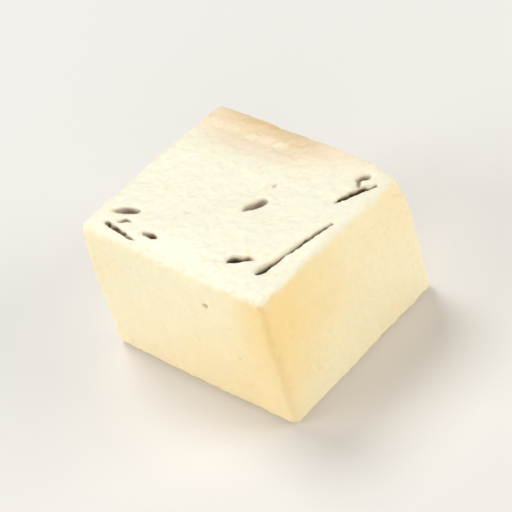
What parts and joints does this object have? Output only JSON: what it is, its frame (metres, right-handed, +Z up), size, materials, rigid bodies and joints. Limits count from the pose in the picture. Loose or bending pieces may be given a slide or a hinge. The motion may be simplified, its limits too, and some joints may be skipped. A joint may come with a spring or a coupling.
{
  "type": "tofu block",
  "caption": "Cut block of firm tofu with soft rounded edges, a pitted creamy top and smooth knife-cut sides, resting on its flat base.",
  "frame": {"origin": "middle of the flat base, under the middle of the block's bounding box", "axes": "+Z up; +X along the longer cut; -Y is the smooth side below the softened edge of the top; the pitted cut faces up"},
  "size_m": [0.0232, 0.0206, 0.0153],
  "materials": {
    "firm_tofu": "moist, smooth curd with a soft sheen"
  },
  "bodies": {
    "root": {"tofu_block": "firm_tofu"}
  },
  "joints": []
}
